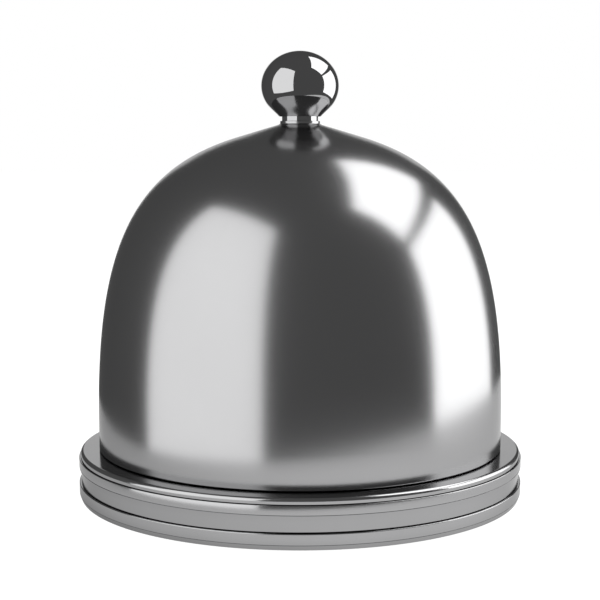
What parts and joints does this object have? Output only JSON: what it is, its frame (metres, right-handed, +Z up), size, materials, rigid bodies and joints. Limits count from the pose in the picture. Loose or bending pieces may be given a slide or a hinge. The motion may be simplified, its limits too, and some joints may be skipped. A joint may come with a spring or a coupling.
{
  "type": "service bell",
  "caption": "Push-button desk bell: tall satin gong on a round layered base, with a mirror knob that swings a hammer inside.",
  "frame": {"origin": "centre of the foot's lower face, on the surface the bell stands on", "axes": "+Z up along the plunger; +Y from the front to the back; +X towards the side where the hammer strikes"},
  "size_m": [0.0844, 0.0844, 0.0837],
  "materials": {
    "rubber": "matt, faintly textured",
    "polished_base": "polished nickel plate",
    "satin_gong": "fine satin polish with soft reflections",
    "mirror_knob": "mirror polish",
    "ballast_iron": "blackened casting",
    "zinc_strip": "bright zinc-plated strip",
    "screw_steel": "zinc-plated, tool marks in the slot",
    "turned_steel": "fine turned steel",
    "fibre": "red vulcanised fibre",
    "spring_wire": "drawn spring wire",
    "hammer_brass": "turned brass",
    "nylon": "white nylon"
  },
  "bodies": {
    "stand": {"foot_pad": "rubber", "base_bottom_plate": "polished_base", "base_ring": "polished_base", "ballast_disc": "ballast_iron", "base_top_plate": "polished_base", "base_screw_1": "screw_steel", "base_screw_2": "screw_steel", "base_screw_3": "screw_steel", "hammer_rest": "rubber", "frame": "zinc_strip", "frame_screw_front": "screw_steel", "frame_screw_rear": "screw_steel", "post": "turned_steel", "post_nut": "turned_steel", "gong_washer": "fibre", "gong_nut": "turned_steel", "jam_nut": "turned_steel", "gong": "satin_gong", "pivot_pin": "turned_steel", "pivot_clip_front": "spring_wire", "pivot_clip_rear": "spring_wire"},
    "plunger": {"knob": "mirror_knob", "plunger_rod": "turned_steel", "plunger_clip": "spring_wire", "plunger_tip": "turned_steel", "plunger_spring": "spring_wire"},
    "striker": {"striker_lever": "turned_steel", "lever_pad": "nylon", "hammer_rod": "turned_steel", "hammer_head": "hammer_brass", "hammer_nut": "turned_steel"}
  },
  "joints": [
    {"name": "knob_press", "type": "slide", "parent": "stand", "child": "plunger", "axis": [0, 0, -1], "range_m": [0, 0.0012], "stiffness_N_per_m": 500, "springref_m": -0.004, "deforming": ["plunger_spring"]},
    {"name": "hammer_swing", "type": "hinge", "parent": "stand", "child": "striker", "pos_m": [0.006, 0, 0.04188], "axis": [0, -1, 0], "range_deg": [0, 11.43]}
  ],
  "couplings": [
    {"joint": "hammer_swing", "follows": "knob_press", "rad_per_m": 166.1}
  ]
}
